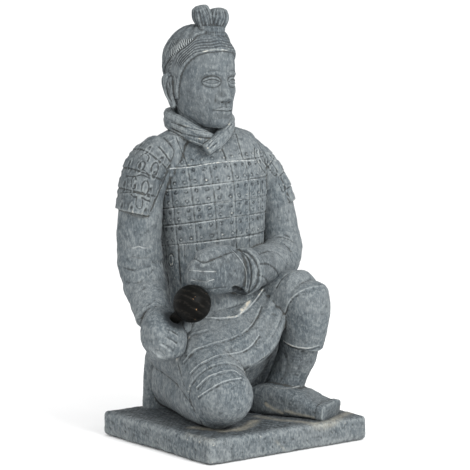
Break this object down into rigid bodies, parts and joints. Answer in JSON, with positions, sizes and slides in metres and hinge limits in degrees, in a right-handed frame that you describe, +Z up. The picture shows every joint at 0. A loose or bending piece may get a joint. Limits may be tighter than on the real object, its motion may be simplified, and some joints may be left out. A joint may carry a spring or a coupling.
{
  "type": "kneeling warrior statue",
  "caption": "Kneeling armoured warrior statue, cast in one with its slab plinth, holding a turned ball on a short stem in its fist.",
  "frame": {"origin": "middle of the plinth's flat underside", "axes": "+Z up; the figure faces -Y; its right hand, with the ball, is towards -X"},
  "size_m": [0.395, 0.34, 0.8075],
  "materials": {
    "stone_casting": "matt blue-grey fibre-clay casting, dry-brushed lighter, warm beige wear on edges and in creases",
    "black_wood": "black stained turned wood, satin"
  },
  "bodies": {
    "root": {"warrior_casting": "stone_casting", "ball_baton": "black_wood"}
  },
  "joints": []
}
